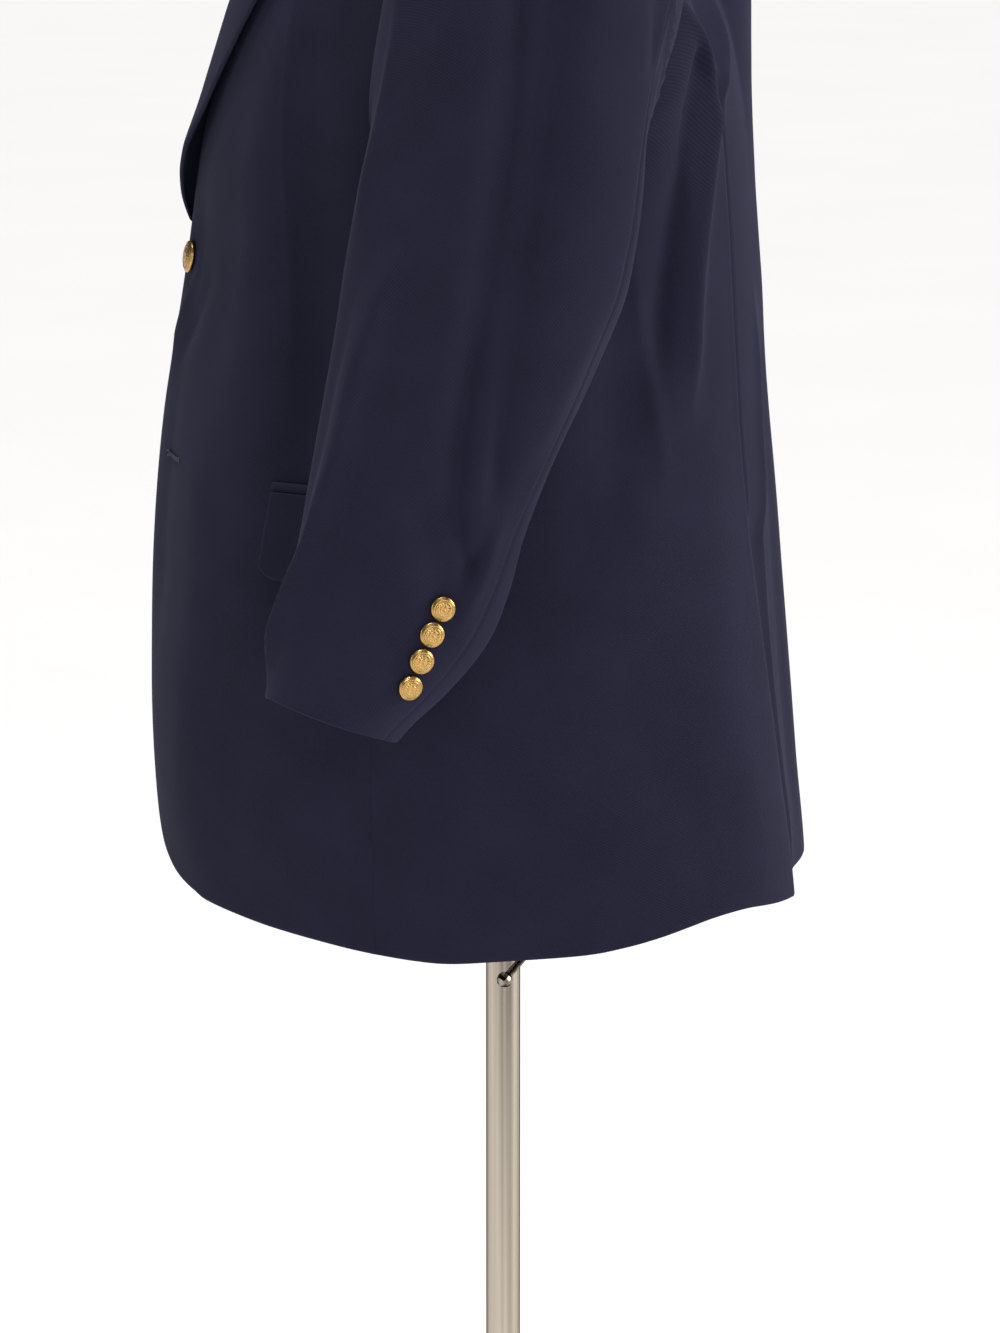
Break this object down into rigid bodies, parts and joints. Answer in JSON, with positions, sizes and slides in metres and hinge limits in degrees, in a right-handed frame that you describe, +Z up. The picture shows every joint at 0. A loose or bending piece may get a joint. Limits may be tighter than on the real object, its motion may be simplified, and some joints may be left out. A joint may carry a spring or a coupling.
{
  "type": "blazer on a dress form stand",
  "caption": "Single-breasted blazer with notched lapels, flap pockets, side vents and metal buttons, on a limbless dress form with a telescopic pole and round base.",
  "frame": {"origin": "centre of the base plate's underside, on the floor, on the pole's axis", "axes": "+Z up along the pole, -Y the way the wearer faces, +X the wearer's left"},
  "size_m": [0.6094, 0.4113, 1.57],
  "materials": {
    "wool": "matte navy wool twill",
    "gilt_brass": "polished, raised rings",
    "form_linen": "plain woven cover",
    "chromed_steel": "polished"
  },
  "bodies": {
    "stand": {"base_plate": "chromed_steel", "stand_tube": "chromed_steel", "clamp_collar": "chromed_steel"},
    "screw": {"clamp_screw": "chromed_steel", "clamp_bar": "chromed_steel"},
    "mast": {"mast_pole": "chromed_steel"},
    "dressed_form": {"form_socket": "chromed_steel", "form_torso": "form_linen", "front_left": "wool", "front_right": "wool", "side_left": "wool", "side_right": "wool", "back_left": "wool", "back_right": "wool", "lapel_left": "wool", "lapel_right": "wool", "collar": "wool", "sleeve_top_left": "wool", "sleeve_top_right": "wool", "sleeve_under_left": "wool", "sleeve_under_right": "wool", "jet_left": "wool", "jet_right": "wool", "flap_left": "wool", "flap_right": "wool", "button_front_top": "gilt_brass", "button_front_low": "gilt_brass", "button_cuff_left_1": "gilt_brass", "button_cuff_left_2": "gilt_brass", "button_cuff_left_3": "gilt_brass", "button_cuff_left_4": "gilt_brass", "button_cuff_right_1": "gilt_brass", "button_cuff_right_2": "gilt_brass", "button_cuff_right_3": "gilt_brass", "button_cuff_right_4": "gilt_brass"}
  },
  "joints": [
    {"name": "mast_height", "type": "slide", "parent": "stand", "child": "mast", "axis": [0, 0, 1], "range_m": [-0.12, 0.15]},
    {"name": "form_swivel", "type": "hinge", "parent": "mast", "child": "dressed_form", "pos_m": [0, 0, 0.857], "axis": [0, 0, 1], "continuous": true},
    {"name": "clamp_screw_turn", "type": "hinge", "parent": "stand", "child": "screw", "pos_m": [0, 0, 0.668], "axis": [0.7986, 0.6018, 0], "range_deg": [-720, 0]}
  ]
}
